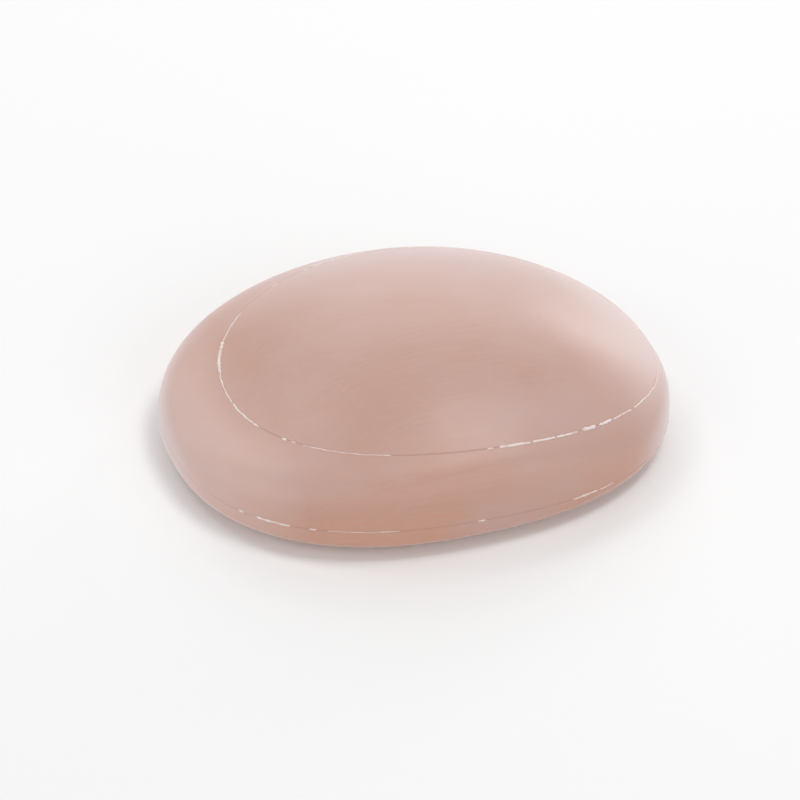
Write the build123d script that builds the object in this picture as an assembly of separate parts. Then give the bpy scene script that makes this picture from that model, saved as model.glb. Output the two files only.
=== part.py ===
from build123d import *
import math
import os

# A bar of toilet soap, pressed in one piece: a smooth pebble with a shallow domed cap.
# Its widest level, the belly, lies low.  Below it the skin rolls under to the flat face that
# the bar rests on.  Above it the band rises almost upright, then turns in over a soft
# shoulder to the upper die line, which bounds the cap.  The cap is pressed a little towards
# one end and dips towards it.  The thin flash on the die lines isn't part of this solid.
#
# Frame: the origin is at the middle of the bar's footprint on the surface under it, +X runs
# along the bar to the end that the cap leans to, +Y across it and +Z up.
# Lengths are in millimetres.

# ---- overall size ----
length = 90.0
width = 70.0
belly_height = 3.8  # above the resting face
crown_height = 24.5  # above the resting face, at the middle of the cap

# ---- the upper die line ----
line_height = 14.5  # above the resting face, as a mean round the line
line_saddle = 2.2  # the line runs this much lower at the two ends and higher at the two sides
line_dip = 2.5  # the line and the cap are lower by this at the +X end, and higher at the other
line_end_inset = 5.9  # inside the belly's outline, at the ends
line_side_inset = 5.2  # inside the belly's outline, at the sides
cap_slide = 4.3  # the middle of the cap lies this far from the middle of the bar, along +X

# ---- roundness ----
belly_squareness = 2.33  # 2 is an ellipse, and a larger power gives a squarer oval
line_squareness = 2.12
belly_pull = 0.78  # share of the line's height that the band keeps to the upright
shoulder_pull = 0.54  # share of the inset over which the shoulder keeps the cap's slope
underside_inset = 12.0  # the roll under the belly is a quarter ellipse that runs in this far
resting_turn = 15.0  # degrees of that quarter ellipse that the flat resting face cuts off

# ---- fineness of the level lines that the skin is drawn over ----
outline_points = 36
underside_levels = 8
band_levels = 12
cap_levels = 10
crown_share = 0.04  # the skin closes in a flat spot this share of the cap's own length

half_length = length / 2
half_width = width / 2


def oval(squareness, angle):
    """Unit oval at an angle: a circle swelled towards its four corners by the squareness."""
    along = math.cos(angle)
    across = math.sin(angle)
    swell = (abs(along) ** squareness + abs(across) ** squareness) ** (-1 / squareness)
    return swell * along, swell * across


def underside_point(angle, share):
    """Point on the roll under the belly: share 0 is the resting face, 1 the belly."""
    along, across = oval(belly_squareness, angle)
    turn = math.radians(resting_turn + share * (90 - resting_turn))
    inset = underside_inset * (1 - math.sin(turn))
    height = belly_height * (1 - math.cos(turn) / math.cos(math.radians(resting_turn)))
    return Vector((half_length - inset) * along, (half_width - inset) * across, height)


def cap_point(angle, share):
    """Point on the cap: share 0 is its middle, 1 the upper die line."""
    along, across = oval(line_squareness, angle)
    fall = (crown_height - line_height + line_saddle * math.cos(2 * angle)) * share**2
    height = crown_height - fall - line_dip * share * along
    x = cap_slide + share * (half_length - line_end_inset) * along
    y = share * (half_width - line_side_inset) * across
    return Vector(x, y, height)


def cap_slope(angle):
    """Direction in which the cap runs out over the die line, for one millimetre outwards."""
    along, across = oval(line_squareness, angle)
    x = (half_length - line_end_inset) * along
    y = (half_width - line_side_inset) * across
    fall = 2 * (crown_height - line_height + line_saddle * math.cos(2 * angle))
    reach = math.hypot(x, y)
    return Vector(x / reach, y / reach, -(fall + line_dip * along) / reach)


def band_point(angle, share):
    """Point on the band, a cubic curve from the belly at share 0 to the die line at 1."""
    along, across = oval(belly_squareness, angle)
    belly = Vector(half_length * along, half_width * across, belly_height)
    line = cap_point(angle, 1)
    inset = math.hypot(line.X - belly.X, line.Y - belly.Y)
    upright = belly + Vector(0, 0, belly_pull * (line.Z - belly_height))
    shoulder = line + cap_slope(angle) * (shoulder_pull * inset)
    rest = 1 - share
    lower = belly * rest**3 + upright * (3 * rest**2 * share)
    return lower + shoulder * (3 * rest * share**2) + line * share**3


def crown_point(angle, share):
    """Point on the flat spot at the middle of the cap, which lies in the cap's own slope."""
    on_cap = cap_point(angle, share)
    along = oval(line_squareness, angle)[0]
    height = crown_height - (crown_height - line_height) * share**2 - line_dip * share * along
    return Vector(on_cap.X, on_cap.Y, height)


def level_line(point_at, share):
    """One closed line round the bar, through points at even angles."""
    steps = [index / outline_points for index in range(outline_points + 1)]
    points = [point_at(2 * math.pi * step, share) for step in steps[:-1]]
    return Wire([Edge.make_spline(points, periodic=True, parameters=steps)])


def make_bar():
    """The bar's skin drawn over its level lines, from the resting face to the crown."""
    lines = [level_line(underside_point, step / underside_levels) for step in range(underside_levels)]
    lines += [level_line(band_point, step / band_levels) for step in range(band_levels)]
    for step in range(cap_levels):
        lines.append(level_line(cap_point, 1 - (1 - crown_share) * step / cap_levels))
    lines.append(level_line(crown_point, crown_share))
    return Solid.make_loft(lines)


soap_bar = make_bar()
os.makedirs("parts", exist_ok=True)
export_step(soap_bar, "parts/soap_bar.step")
print("volume in cubic centimetres", round(soap_bar.volume / 1000, 2))
print("box", soap_bar.bounding_box())
print("valid", soap_bar.is_valid)
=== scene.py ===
# %% [markdown]
# # A bar of toilet soap
#
# The object is one pressed piece: a low, smooth pebble with a shallow domed cap, and the thin pale
# flash that the dies leave where they meet.  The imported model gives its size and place.  This
# lesson gives it its skin: the same pebble on a finer mesh, two ragged beads of flash, and a waxy,
# slightly streaked finish.

import math

import bpy
import numpy as np
from mathutils import Matrix, Vector


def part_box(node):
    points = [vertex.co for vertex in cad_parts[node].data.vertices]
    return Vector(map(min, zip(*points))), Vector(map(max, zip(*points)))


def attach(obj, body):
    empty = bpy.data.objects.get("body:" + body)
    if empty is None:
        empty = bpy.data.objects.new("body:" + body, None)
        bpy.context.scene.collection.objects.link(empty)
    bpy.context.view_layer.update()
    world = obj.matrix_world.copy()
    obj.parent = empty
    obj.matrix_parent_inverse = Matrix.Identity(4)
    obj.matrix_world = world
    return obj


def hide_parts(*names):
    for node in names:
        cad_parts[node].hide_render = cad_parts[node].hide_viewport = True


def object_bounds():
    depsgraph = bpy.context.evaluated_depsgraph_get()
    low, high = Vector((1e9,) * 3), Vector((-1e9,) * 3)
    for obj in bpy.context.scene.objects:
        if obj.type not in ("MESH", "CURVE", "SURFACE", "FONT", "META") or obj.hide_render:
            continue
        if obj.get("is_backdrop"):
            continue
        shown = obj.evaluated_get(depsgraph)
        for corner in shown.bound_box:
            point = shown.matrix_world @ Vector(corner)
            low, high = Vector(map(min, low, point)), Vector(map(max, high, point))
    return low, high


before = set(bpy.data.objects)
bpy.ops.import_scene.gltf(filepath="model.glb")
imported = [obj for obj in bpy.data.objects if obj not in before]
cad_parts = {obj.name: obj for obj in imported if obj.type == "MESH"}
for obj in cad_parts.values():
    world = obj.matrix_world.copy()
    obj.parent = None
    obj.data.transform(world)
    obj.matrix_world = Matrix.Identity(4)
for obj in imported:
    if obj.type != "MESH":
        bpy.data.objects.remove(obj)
cad_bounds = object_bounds()
low_corner, high_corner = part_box("soap_bar")
print("the bar lies between", tuple(low_corner), "and", tuple(high_corner))

# %% [markdown]
# ## Sizes of the pebble
#
# The length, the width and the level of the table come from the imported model's box.  The other
# sizes are those of the pressed form, in millimetres.  The belly is the widest level and lies low.
# The upper die line bounds the cap, which is pressed a little towards one end and dips towards it.

# %% Sizes
MM = 0.001
half_length = (high_corner[0] - low_corner[0]) / 2 / MM
half_width = (high_corner[1] - low_corner[1]) / 2 / MM
base_height = low_corner[2] / MM
belly_height = 3.8
crown_height = 24.5
line_height = 14.5
line_saddle = 2.2
line_dip = 2.5
line_end_inset = 5.9
line_side_inset = 5.2
cap_slide = 4.3
belly_squareness = 2.33
line_squareness = 2.12
belly_pull = 0.78
shoulder_pull = 0.54
underside_inset = 12.0
resting_turn = math.radians(15.0)
lower_line_mean = 0.054
lower_line_lean = 0.043
lower_line_saddle = 0.021
lower_line_least = 0.004
print("half length and half width in mm", round(half_length, 2), round(half_width, 2))

# %% [markdown]
# ## The form as formulas
#
# A pressed pebble could be sculpted, or subdivided from a box, but its outline, belly and shoulder
# are exact curves.  So each stretch of skin is a function of an angle round the bar, counted from
# +X, and a share of the way along the stretch.  Whole arrays go in, and grids of points come out.


# %% Stretches of the skin
def oval(squareness, angle):
    """Unit oval: the circle's cosine and sine, divided by the n-th root of |cos|^n + |sin|^n."""
    along, across = np.cos(angle), np.sin(angle)
    swell = (np.abs(along) ** squareness + np.abs(across) ** squareness) ** (-1 / squareness)
    return swell * along, swell * across


def stack(x, y, z):
    """Joins three grids of coordinates into one grid of points."""
    return np.stack(np.broadcast_arrays(x, y, z), axis=-1)


def underside_point(angle, share):
    """Quarter ellipse under the belly, from the resting face (share 0) to the belly (share 1)."""
    along, across = oval(belly_squareness, angle)
    turn = resting_turn + share * (math.pi / 2 - resting_turn)
    inset = underside_inset * (1 - np.sin(turn))
    height = belly_height * (1 - np.cos(turn) / math.cos(resting_turn))
    return stack((half_length - inset) * along, (half_width - inset) * across, height)


def cap_point(angle, share):
    """Dome: height falls with the square of the share, more at the ends, and dips along +X."""
    along, across = oval(line_squareness, angle)
    fall = (crown_height - line_height + line_saddle * np.cos(2 * angle)) * share**2
    x = cap_slide + share * (half_length - line_end_inset) * along
    y = share * (half_width - line_side_inset) * across
    return stack(x, y, crown_height - fall - line_dip * share * along)


def cap_slope(angle):
    """The dome's own direction as it crosses the die line outwards, per millimetre of plan."""
    along, across = oval(line_squareness, angle)
    x = (half_length - line_end_inset) * along
    y = (half_width - line_side_inset) * across
    fall = 2 * (crown_height - line_height + line_saddle * np.cos(2 * angle)) + line_dip * along
    return stack(x, y, -fall) / np.hypot(x, y)[..., None]


def band_point(angle, share):
    """Cubic curve that leaves the belly upright and meets the dome in the dome's own slope."""
    along, across = oval(belly_squareness, angle)
    belly = stack(half_length * along, half_width * across, belly_height)
    line = cap_point(angle, 1.0)
    inset = np.hypot(line[..., 0] - belly[..., 0], line[..., 1] - belly[..., 1])[..., None]
    upright = belly.copy()
    upright[..., 2] += belly_pull * (line[..., 2] - belly_height)
    shoulder = line + cap_slope(angle) * shoulder_pull * inset
    share = np.broadcast_to(share, angle.shape)[..., None]
    rest = 1 - share
    start = belly * rest**3 + upright * 3 * rest**2 * share
    return start + shoulder * 3 * rest * share**2 + line * share**3


def lower_line_share(angle):
    """Share of the band at which the lower die line runs: most at -X, and more at the sides."""
    lean = lower_line_lean * np.cos(angle)
    saddle = lower_line_saddle * np.cos(2 * angle)
    return np.maximum(lower_line_mean - lean - saddle, lower_line_least)


# %% [markdown]
# ## The skin as one mesh
#
# The real skin is one unbroken surface.  It could be joined from a cap, a band and an underside,
# but one grid has no seams to hide: its rows run round the bar, from the middle of the resting
# face to the crown.  Rows crowd together at the two die lines, because the dies leave a shallow
# nick there that a coarse mesh would lose.

# %% Rows and columns
COLUMNS = 480
CLOSE_STEPS = np.array([0, 0.06, 0.12, 0.18, 0.26, 0.36, 0.5, 0.7, 1.0])


def crowded_shares(reach, middle_rows, crowd_start=True, crowd_end=True):
    """Shares from 0 to 1 over a reach in mm, with close rows at the ends that need them."""
    first = CLOSE_STEPS / reach if crowd_start else np.array([0.0])
    last = 1 - CLOSE_STEPS[::-1] / reach if crowd_end else np.array([1.0])
    middle = np.linspace(first[-1], last[0], middle_rows + 2)[1:-1]
    return np.concatenate([first, middle, last])


angles = np.linspace(0, 2 * math.pi, COLUMNS, endpoint=False)
floor_shares = np.array([0.25, 0.5, 0.75])
underside_shares = np.linspace(0, 1, 12)
sill_shares = crowded_shares(3.0, 3, crowd_start=False)
band_shares = crowded_shares(13.0, 18)
cap_shares = 1 - crowded_shares(35.0, 38, crowd_end=False)

# %% Build the grid of points
rows = []
resting_edge = underside_point(angles, 0.0)
for share in floor_shares:
    rows.append(resting_edge * [share, share, 1.0])
for share in underside_shares:
    rows.append(underside_point(angles, share))
line_share = lower_line_share(angles)
for share in sill_shares[1:]:
    rows.append(band_point(angles, line_share * share))
lower_line_row = len(rows) - 1
for share in band_shares[1:]:
    rows.append(band_point(angles, line_share + (1 - line_share) * share))
upper_line_row = len(rows) - 1
for share in cap_shares[1:-1]:
    rows.append(cap_point(angles, share))
grid = np.array(rows)
print("rows", len(grid), "columns", COLUMNS)

# %% [markdown]
# ## The nick at each die line
#
# Where two dies meet, the soap keeps a hair-fine nick.  A dark painted line would do from far
# away, but a true nick also shades from close by.  So the rows near a die line are pushed in along
# the skin's own normals, by a bell curve of the distance from the line.


# %% Normals, and the depth of the nick
NICK_DEPTH = 0.05
NICK_WIDTH = 0.14


def grid_normals(points):
    """Outward normals: the step round the bar crossed with the step up it."""
    around = np.roll(points, -1, axis=1) - np.roll(points, 1, axis=1)
    up = np.gradient(points, axis=0)
    normal = np.cross(around, up)
    return normal / np.linalg.norm(normal, axis=2, keepdims=True)


def gap_to_row(points, row):
    """Distance along the skin from one row, in mm, by adding the steps between rows."""
    steps = np.linalg.norm(np.diff(points, axis=0), axis=2)
    run = np.concatenate([np.zeros((1, points.shape[1])), np.cumsum(steps, axis=0)])
    return run - run[row]


def bell(gap):
    """Closeness to a line: one on it, falling as the exponential of minus the gap squared."""
    return np.exp(-((gap / NICK_WIDTH) ** 2))


closeness = bell(gap_to_row(grid, upper_line_row)) + bell(gap_to_row(grid, lower_line_row))
depth = NICK_DEPTH * closeness
skin = grid - grid_normals(grid) * depth[..., None] + [0, 0, base_height]
print("deepest nick in mm", round(float(depth.max()), 3))

# %% [markdown]
# ## From grid to mesh
#
# Each cell of the grid is one four-sided face, and a fan of triangles closes the middle of the
# resting face and the crown.  Each point keeps its closeness to a die line as an attribute, which
# the finish reads to paint shade into the nick.


# %% Put the grid into a mesh
def add_piece(name, points, faces):
    """Smooth-shaded mesh from points in mm, as an object at the origin."""
    mesh = bpy.data.meshes.new(name)
    mesh.from_pydata((points * MM).tolist(), [], faces)
    mesh.polygons.foreach_set("use_smooth", np.ones(len(faces), dtype=bool))
    mesh.update()
    piece = bpy.data.objects.new(name, mesh)
    bpy.context.scene.collection.objects.link(piece)
    return piece


def closed_mesh(name, points, bottom, top):
    """Mesh of a grid whose columns close on themselves, with a pole point at either end."""
    count, columns = points.shape[:2]
    index = np.arange(count * columns).reshape(count, columns)
    ahead = np.roll(index, -1, axis=1)
    quads = np.stack([index[:-1], ahead[:-1], ahead[1:], index[1:]], axis=-1).reshape(-1, 4)
    bottom_tip = np.full(columns, count * columns)
    bottom_fan = np.stack([ahead[0], index[0], bottom_tip], axis=-1)
    top_fan = np.stack([index[-1], ahead[-1], bottom_tip + 1], axis=-1)
    vertices = np.vstack([points.reshape(-1, 3), bottom, top])
    return add_piece(name, vertices, quads.tolist() + bottom_fan.tolist() + top_fan.tolist())


foot = [0.0, 0.0, base_height]
crown = [cap_slide, 0.0, crown_height + base_height]
soap_skin = closed_mesh("soap_skin", skin, foot, crown)
die_line = soap_skin.data.attributes.new("die_line", "FLOAT", "POINT")
die_line.data.foreach_set("value", np.concatenate([closeness.reshape(-1), [0.0, 0.0]]))
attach(soap_skin, "root")
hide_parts("soap_bar")
print("skin faces", len(soap_skin.data.polygons))

# %% [markdown]
# ## The flash
#
# Soap squeezes between the dies and dries to a thin pale fin, most of which rubs off.  What is
# left is a broken thread: thick for a few millimetres, then a hair, then nothing.  A curve with a
# bevel would be too even.  So the thread is a bead carried round the line, whose thickness is that
# of a few listed stretches, roughened.  Where there is no flash the bead sinks out of sight.
#
# Each stretch is (first degree, last degree, thickness in mm), counted round the bar from +X.

# %% Where flash is left
upper_flash_stretches = [
    (4, 12, 0.10), (18, 20, 0.22), (27, 46, 0.12), (52, 55, 0.30), (61, 83, 0.10),
    (92, 103, 0.16), (103, 110, 0.34), (111, 113, 0.16), (121, 124, 0.12), (138, 153, 0.15),
    (152, 168, 0.46), (167, 184, 0.17), (184, 200, 0.26), (209, 211, 0.34), (212, 214, 0.18),
    (216, 241, 0.10), (265, 267, 0.22), (268, 277, 0.34), (277, 284, 0.28), (284, 291, 0.24),
    (292, 297, 0.50), (298, 303, 0.38), (303, 312, 0.22), (313, 326, 0.20), (326, 328, 0.28),
]
lower_flash_stretches = [
    (8, 30, 0.12), (41, 44, 0.30), (58, 77, 0.14), (95, 97, 0.28), (110, 131, 0.16),
    (150, 163, 0.14), (212, 214, 0.26), (217, 226, 0.24), (230, 232, 0.22), (234, 250, 0.08),
    (267, 269, 0.28), (290, 297, 0.24), (297, 302, 0.12), (320, 341, 0.12),
]

# %% [markdown]
# ## How thick the flash is
#
# Torn soap is rough at two sizes: lumps a few millimetres long, and crumbs well under one.  Random
# bumps at every point would look like noise, so both are smooth wobbles that close on themselves.


# %% Thickness round a die line
FLASH_COLUMNS = 2600
FADE_DEGREES = 0.8
LUMPS = 0.55
CRUMBS = 0.35
flash_angles = np.linspace(0, 2 * math.pi, FLASH_COLUMNS, endpoint=False)


def waves(angle, seed, slowest, fastest):
    """Smooth wobble round the bar, between -1 and 1: a sum of sines with whole numbers of turns."""
    chance = np.random.default_rng(seed)
    turns = np.arange(slowest, fastest)
    phase = chance.uniform(0, 2 * math.pi, len(turns))
    size = chance.normal(0, 1, len(turns))
    total = (size[:, None] * np.sin(turns[:, None] * angle + phase[:, None])).sum(axis=0)
    return total / np.abs(total).max()


def flash_thickness(angle, stretches, seed):
    """The thickest stretch at each angle, fading at its ends, times a rough wobble."""
    degrees = np.degrees(angle)
    total = np.zeros_like(angle)
    for first, last, thick in stretches:
        start = np.clip((degrees - first) / FADE_DEGREES, 0, 1)
        end = np.clip((last - degrees) / FADE_DEGREES, 0, 1)
        total = np.maximum(total, thick * (start * end))
    lumps = LUMPS * waves(angle, seed, 60, 200)
    crumbs = CRUMBS * waves(angle, seed + 1, 250, 700)
    return total * np.clip(1.0 + lumps + crumbs, 0.3, 1.6)


# %% Carry a bead along a die line
FLASH_SIDES = 8
SPREAD = 0.62  # half the bead's breadth, as a share of its thickness
RISE = 0.5  # half its height, as a share of its thickness
HAIR = 0.01  # added to both, in mm
SUNK = 0.03  # the bead's middle lies this far under the skin
BURIED = 0.08  # and this much deeper where there is no flash
THREAD = 0.05  # thinner than this, the bead starts to sink and doesn't stray
STRAY = 0.07  # how far the bead strays from the line


def ring_mesh(name, points):
    """Mesh of a grid that closes on itself both ways, as a ring-shaped tube does."""
    sides, columns = points.shape[:2]
    index = np.arange(sides * columns).reshape(sides, columns)
    ahead = np.roll(index, -1, axis=1)
    next_side = np.roll(index, -1, axis=0)
    quads = np.stack([index, next_side, np.roll(ahead, -1, axis=0), ahead], axis=-1)
    return add_piece(name, points.reshape(-1, 3), quads.reshape(-1, 4).tolist())


def flash_bead(name, line_points, normal, stretches, seed):
    """Flattened bead along a line: its section is an ellipse across the line, half sunk."""
    thickness = flash_thickness(flash_angles, stretches, seed)[:, None]
    ahead = np.roll(line_points, -1, axis=0) - np.roll(line_points, 1, axis=0)
    ahead /= np.linalg.norm(ahead, axis=1, keepdims=True)
    across = np.cross(normal, ahead)
    stray = STRAY * waves(flash_angles, seed + 2, 20, 90)[:, None] * (thickness > THREAD)
    depth = SUNK + BURIED * np.clip(1 - thickness / THREAD, 0, 1)
    centre = line_points + across * stray - normal * depth
    ring = []
    for side in range(FLASH_SIDES):
        turn = 2 * math.pi * side / FLASH_SIDES
        reach = across * math.cos(turn) * (SPREAD * thickness + HAIR)
        rise = normal * math.sin(turn) * (RISE * thickness + HAIR)
        ring.append(centre + reach + rise)
    return ring_mesh(name, np.array(ring) + [0, 0, base_height])


def line_and_normal(at_share):
    """Points on a die line, and the skin's normals there, from a short step below the line."""
    below = band_point(flash_angles, at_share - 0.01)
    line = band_point(flash_angles, at_share)
    return line, grid_normals(np.array([below, line, 2 * line - below]))[1]


upper_points, upper_normals = line_and_normal(np.ones(FLASH_COLUMNS))
lower_points, lower_normals = line_and_normal(lower_line_share(flash_angles))
upper_flash = flash_bead("upper_flash", upper_points, upper_normals, upper_flash_stretches, 11)
lower_flash = flash_bead("lower_flash", lower_points, lower_normals, lower_flash_stretches, 31)
for flash in (upper_flash, lower_flash):
    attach(flash, "root")
print("flash faces", len(upper_flash.data.polygons) + len(lower_flash.data.polygons))

# %% [markdown]
# ## The finish
#
# Milled soap is pressed from ribbons, so its colour is never quite even: soft clouds of paler
# soap, drawn out along the bar, and faint hair-fine streaks.  A painted picture would need an
# unwrapped skin.  Noise on the place in the bar needs none, and runs through the bar as the
# ribbons do.  The skin and the flash share it, so it is a node group of masks and a height.


# %% A node group for milled soap
def milled_soap_group():
    """Masks worked out from the place in the bar: cloud, streak, and a height for the bump."""
    group = bpy.data.node_groups.new("milled_soap", "ShaderNodeTree")
    group.interface.new_socket("Cloud Size", in_out="INPUT", socket_type="NodeSocketFloat")
    for output in ("Cloud", "Streak", "Height"):
        group.interface.new_socket(output, in_out="OUTPUT", socket_type="NodeSocketFloat")
    nodes, links = group.nodes, group.links
    inputs = nodes.new("NodeGroupInput")
    outputs = nodes.new("NodeGroupOutput")
    place = nodes.new("ShaderNodeTexCoord")

    def noise(stretch, scale, detail, roughness):
        """Noise on the place in the bar, stretched by its own scales along X, Y and Z."""
        mapping = nodes.new("ShaderNodeMapping")
        mapping.inputs["Scale"].default_value = stretch
        links.new(place.outputs["Object"], mapping.inputs["Vector"])
        texture = nodes.new("ShaderNodeTexNoise")
        texture.inputs["Scale"].default_value = scale
        texture.inputs["Detail"].default_value = detail
        texture.inputs["Roughness"].default_value = roughness
        links.new(mapping.outputs["Vector"], texture.inputs["Vector"])
        return texture

    cloud = noise((0.6, 1.0, 1.0), 55.0, 3.0, 0.55)
    links.new(inputs.outputs["Cloud Size"], cloud.inputs["Scale"])
    streak = noise((0.06, 1.0, 1.0), 1700.0, 4.0, 0.6)
    grain = noise((0.5, 1.0, 1.0), 1400.0, 2.0, 0.5)
    height = nodes.new("ShaderNodeMath")
    height.operation = "MULTIPLY_ADD"
    height.inputs[1].default_value = 0.5
    links.new(grain.outputs["Fac"], height.inputs[0])
    links.new(streak.outputs["Fac"], height.inputs[2])
    links.new(cloud.outputs["Fac"], outputs.inputs["Cloud"])
    links.new(streak.outputs["Fac"], outputs.inputs["Streak"])
    links.new(height.outputs["Value"], outputs.inputs["Height"])
    return group


milled_soap = milled_soap_group()
print("node group", milled_soap.name)


# %% Small helpers for wiring a material
def new_material(name):
    """A node material, with its nodes, its links and its shader."""
    material = bpy.data.materials.new(name)
    material.use_nodes = True
    nodes = material.node_tree.nodes
    return material, nodes, material.node_tree.links, nodes["Principled BSDF"]


def milled(nodes, cloud_size):
    """The milled soap group placed in a material."""
    node = nodes.new("ShaderNodeGroup")
    node.node_tree = milled_soap
    node.inputs["Cloud Size"].default_value = cloud_size
    return node


def blend(nodes, links, mask, first, second):
    """Mix of two colours by a mask: each is a colour or another node's output."""
    mix = nodes.new("ShaderNodeMix")
    mix.data_type = "RGBA"
    links.new(mask, mix.inputs["Factor"])
    for socket, value in ((mix.inputs["A"], first), (mix.inputs["B"], second)):
        if isinstance(value, tuple):
            socket.default_value = (*value, 1.0)
        else:
            links.new(value, socket)
    return mix.outputs["Result"]


def spread(nodes, links, value, low, high, to_low=0.0, to_high=1.0):
    """Stretches a value between two limits to another range, and holds it there."""
    node = nodes.new("ShaderNodeMapRange")
    links.new(value, node.inputs["Value"])
    limits = {"From Min": low, "From Max": high, "To Min": to_low, "To Max": to_high}
    for socket, number in limits.items():
        node.inputs[socket].default_value = number
    return node.outputs["Result"]


# %% [markdown]
# ## The skin's material
#
# The skin is a waxy satin.  Light goes a millimetre or so into it, which a little subsurface
# scattering gives.  The band is painted warmer than the cap, a painted glow of floor light shining
# up through the soap.  Skin seen at a glancing angle is painted paler, a painted reflection of the
# white room, and the two ends are painted with it too.  The nick of a die line is painted slightly
# browner, a painted shade.

# %% Colours of the skin, and its material
# The first colour is a painted glow: warm floor light shining up through the lower soap.
PAINTED_BOUNCE_WARM = (0.60, 0.325, 0.228)
ROSE = (0.545, 0.325, 0.262)
PALE = (0.58, 0.385, 0.34)
# The next colour is a painted pale reflection of the white room, for glancing skin and the two
# ends.
PAINTED_GLANCING_REFLECTION = (0.83, 0.70, 0.695)
# The next colour is painted shade in the nick of a die line.
PAINTED_NICK_SHADE = (0.45, 0.245, 0.195)
# Over these heights the painted warm glow of floor light fades into the cap's rose.
BAND_TOP = (0.008, 0.020)  # metres above the table over which warm turns to rose
# Over these distances from the middle the ends are painted with the pale reflection colour.
ENDS = (0.030, 0.045)  # metres from the middle over which the ends turn paler


def soap_material():
    """Dusty pink milled soap with clouds and streaks, a painted warm glow low down, a painted pale
    reflection and a painted shade in the die line.
    """
    material, nodes, links, shader = new_material("milled_soap_skin")
    soap = milled(nodes, 48.0)
    place = nodes.new("ShaderNodeTexCoord")
    split = nodes.new("ShaderNodeSeparateXYZ")
    links.new(place.outputs["Object"], split.inputs["Vector"])

    # Painted light: the lower skin is painted warmer, as floor light shining up through the soap.
    rising = spread(nodes, links, split.outputs["Z"], *BAND_TOP)
    body = blend(nodes, links, rising, PAINTED_BOUNCE_WARM, ROSE)
    cloud = spread(nodes, links, soap.outputs["Cloud"], 0.42, 0.68)
    clouded = blend(nodes, links, cloud, body, PALE)
    streak = spread(nodes, links, soap.outputs["Streak"], 0.3, 0.75, 0.0, 0.5)
    streaked = blend(nodes, links, streak, clouded, PALE)

    # Painted shade: the nick of a die line is painted browner.
    mark = nodes.new("ShaderNodeAttribute")
    mark.attribute_name = "die_line"
    nick = spread(nodes, links, mark.outputs["Fac"], 0.15, 1.0, 0.0, 0.55)
    nicked = blend(nodes, links, nick, streaked, PAINTED_NICK_SHADE)

    # Painted reflection: skin seen at a glancing angle, and the two ends, are painted paler.
    glance = nodes.new("ShaderNodeLayerWeight")
    glance.inputs["Blend"].default_value = 0.5
    glancing_reflection_mask = spread(nodes, links, glance.outputs["Facing"], 0.5, 1.0, 0.0, 0.7)
    from_middle = nodes.new("ShaderNodeMath")
    from_middle.operation = "ABSOLUTE"
    links.new(split.outputs["X"], from_middle.inputs[0])
    ends = spread(nodes, links, from_middle.outputs["Value"], *ENDS, 0.0, 0.5)
    pale = nodes.new("ShaderNodeMath")
    pale.use_clamp = True
    links.new(ends, pale.inputs[0])
    links.new(glancing_reflection_mask, pale.inputs[1])
    colour = blend(nodes, links, pale.outputs["Value"], nicked, PAINTED_GLANCING_REFLECTION)
    links.new(colour, shader.inputs["Base Color"])

    polish = spread(nodes, links, soap.outputs["Streak"], 0.25, 0.75, 0.32, 0.44)
    links.new(polish, shader.inputs["Roughness"])
    bump = nodes.new("ShaderNodeBump")
    bump.inputs["Strength"].default_value = 0.5
    bump.inputs["Distance"].default_value = 0.00004
    links.new(soap.outputs["Height"], bump.inputs["Height"])
    links.new(bump.outputs["Normal"], shader.inputs["Normal"])
    shader.inputs["Subsurface Weight"].default_value = 0.25
    shader.inputs["Subsurface Radius"].default_value = (1.0, 0.55, 0.42)
    shader.inputs["Subsurface Scale"].default_value = 0.0015
    shader.inputs["IOR"].default_value = 1.46
    return material


# %% [markdown]
# ## The flash's material
#
# Flash is thin, dry and full of air, so it is whiter and duller than the bar.  The same group at a
# much smaller cloud size makes it crumbly.

# %% Colours of the flash, and its material
DRY_WHITE = (0.92, 0.84, 0.82)
DRY_ROSE = (0.80, 0.64, 0.60)


def flash_material():
    """Dry, pale, crumbly soap, whiter than the bar."""
    material, nodes, links, shader = new_material("dried_flash")
    soap = milled(nodes, 700.0)
    crumb = spread(nodes, links, soap.outputs["Cloud"], 0.35, 0.65)
    links.new(blend(nodes, links, crumb, DRY_WHITE, DRY_ROSE), shader.inputs["Base Color"])
    dullness = spread(nodes, links, soap.outputs["Streak"], 0.3, 0.7, 0.5, 0.7)
    links.new(dullness, shader.inputs["Roughness"])
    return material


soap_skin.data.materials.append(soap_material())
dried_flash = flash_material()
for flash in (upper_flash, lower_flash):
    flash.data.materials.append(dried_flash)
print("materials", [material.name for material in bpy.data.materials])

# %% [markdown]
# ## The floor
#
# A studio sweep could be modelled, but seen from above only the floor shows, so a plain pale floor
# is enough.  It takes the shadow, and a little light of its own makes it paper white to the eye.

# %% The floor and its material
FLOOR_HALF = 3.0
FLOOR_GLOW = 0.05


def floor_material():
    """Pale matt floor, with a faint glow that only the camera sees."""
    material, nodes, links, shader = new_material("paper_floor")
    nodes.remove(shader)
    matt = nodes.new("ShaderNodeBsdfDiffuse")
    matt.inputs["Color"].default_value = (0.95, 0.95, 0.95, 1.0)
    glow = nodes.new("ShaderNodeEmission")
    path = nodes.new("ShaderNodeLightPath")
    seen = spread(nodes, links, path.outputs["Is Camera Ray"], 0.0, 1.0, 0.0, FLOOR_GLOW)
    links.new(seen, glow.inputs["Strength"])
    both = nodes.new("ShaderNodeAddShader")
    links.new(matt.outputs["BSDF"], both.inputs[0])
    links.new(glow.outputs["Emission"], both.inputs[1])
    links.new(both.outputs["Shader"], nodes["Material Output"].inputs["Surface"])
    return material


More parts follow.
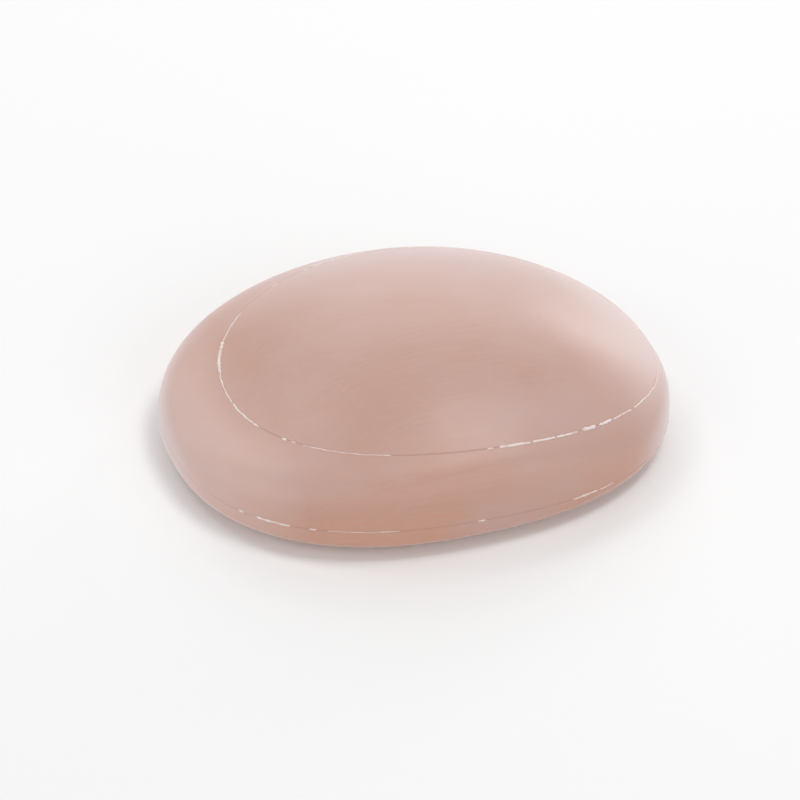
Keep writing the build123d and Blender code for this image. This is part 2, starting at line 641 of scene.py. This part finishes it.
floor_corners = np.array([(-1, -1), (1, -1), (1, 1), (-1, 1)]) * FLOOR_HALF
floor_mesh = bpy.data.meshes.new("floor")
floor_mesh.from_pydata([(x, y, low_corner[2]) for x, y in floor_corners], [], [(0, 1, 2, 3)])
floor_mesh.materials.append(floor_material())
floor = bpy.data.objects.new("floor", floor_mesh)
bpy.context.scene.collection.objects.link(floor)
floor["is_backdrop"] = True
print("floor at height", low_corner[2])

# %% [markdown]
# ## The light
#
# A bright room gives the even light.  Three small soft boxes give the bar its glows: one overhead,
# one behind to the left and a low one behind to the right.  Three large ones fill: the one behind
# throws the soft shadow forwards, and the two in front lift the band without shining in it.


# %% Soft boxes and the room
def soft_box(name, direction, distance, size, watts):
    """Round area light at a distance along a direction, turned to face the bar."""
    data = bpy.data.lights.new(name, "AREA")
    data.shape = "DISK"
    data.size = size
    data.energy = watts
    box = bpy.data.objects.new(name, data)
    towards = Vector(direction).normalized()
    facing = towards.to_track_quat("Z", "Y").to_matrix().to_4x4()
    box.matrix_world = Matrix.Translation(towards * distance) @ facing
    bpy.context.scene.collection.objects.link(box)


soft_box("overhead_box", (0.28, -0.08, 0.95), 0.7, 0.26, 1.2)
soft_box("back_left_box", (-0.36, 0.42, 0.83), 0.7, 0.22, 0.5)
soft_box("back_right_box", (0.75, 0.62, 0.24), 0.7, 0.20, 0.42)
soft_box("back_fill_box", (0.25, 0.78, 0.58), 0.9, 0.80, 2.4)
soft_box("left_fill_box", (-0.90, -0.20, 0.34), 0.9, 1.00, 2.4)
soft_box("front_fill_box", (0.30, -0.90, 0.30), 0.9, 1.00, 2.8)

ROOM_LIGHT = 0.32
world = bpy.data.worlds.new("white_room")
bpy.context.scene.world = world
world.use_nodes = True
room_nodes, room_links = world.node_tree.nodes, world.node_tree.links
path = room_nodes.new("ShaderNodeLightPath")
direct = room_nodes.new("ShaderNodeMath")
direct.operation = "MAXIMUM"
room_links.new(path.outputs["Is Camera Ray"], direct.inputs[0])
room_links.new(path.outputs["Is Glossy Ray"], direct.inputs[1])
strength = spread(room_nodes, room_links, direct.outputs["Value"], 0.0, 1.0, ROOM_LIGHT, 1.0)
room_links.new(strength, room_nodes["Background"].inputs["Strength"])
room_nodes["Background"].inputs["Color"].default_value = (1.0, 1.0, 1.0, 1.0)
print("lights", [light.name for light in bpy.data.lights])

# %% [markdown]
# ## The camera
#
# A long lens from above one side, as a catalogue shows a bar: the cap and the near band both face
# it, and the far outline hardly tapers.  It is rolled a little, so that the bar seems to lean.

# %% The camera
CAMERA_TURN = math.radians(23.0)
CAMERA_RISE = math.radians(37.4)
CAMERA_ROLL = math.radians(-3.1)
CAMERA_DISTANCE = 0.75
CAMERA_LENS = 192.5
AIM_RIGHT = -0.00256
AIM_UP = 0.00155

turn_sin, turn_cos = math.sin(CAMERA_TURN), math.cos(CAMERA_TURN)
rise_sin, rise_cos = math.sin(CAMERA_RISE), math.cos(CAMERA_RISE)
level_right = Vector((turn_cos, -turn_sin, 0.0))
level_up = Vector((turn_sin * rise_sin, turn_cos * rise_sin, rise_cos))
back = Vector((-turn_sin * rise_cos, -turn_cos * rise_cos, rise_sin))
right = level_right * math.cos(CAMERA_ROLL) - level_up * math.sin(CAMERA_ROLL)
up = level_right * math.sin(CAMERA_ROLL) + level_up * math.cos(CAMERA_ROLL)
target = Vector((0.0, 0.0, low_corner[2] + belly_height * MM))
stand = target + back * CAMERA_DISTANCE + right * AIM_RIGHT + up * AIM_UP

camera_data = bpy.data.cameras.new("camera")
camera_data.lens = CAMERA_LENS
camera_data.sensor_width = 36.0
camera_data.clip_end = 20.0
camera = bpy.data.objects.new("camera", camera_data)
turned = Matrix((right, up, back)).transposed().to_4x4()
camera.matrix_world = Matrix.Translation(stand) @ turned
bpy.context.scene.collection.objects.link(camera)
bpy.context.scene.camera = camera
bpy.context.scene.view_settings.view_transform = "Standard"
print("camera stands at", tuple(round(value, 3) for value in stand))

# %% [markdown]
# ## The two boxes
#
# The finer skin and the flash must fill the imported bar's own box, so both boxes are printed side
# by side.

# %% Print the two boxes and finish
visual_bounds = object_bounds()
sizes = {
    "cad": [[float(value) for value in corner] for corner in cad_bounds],
    "visual": [[float(value) for value in corner] for corner in visual_bounds],
}
print("packed box", sizes["cad"], "visual box", sizes["visual"])
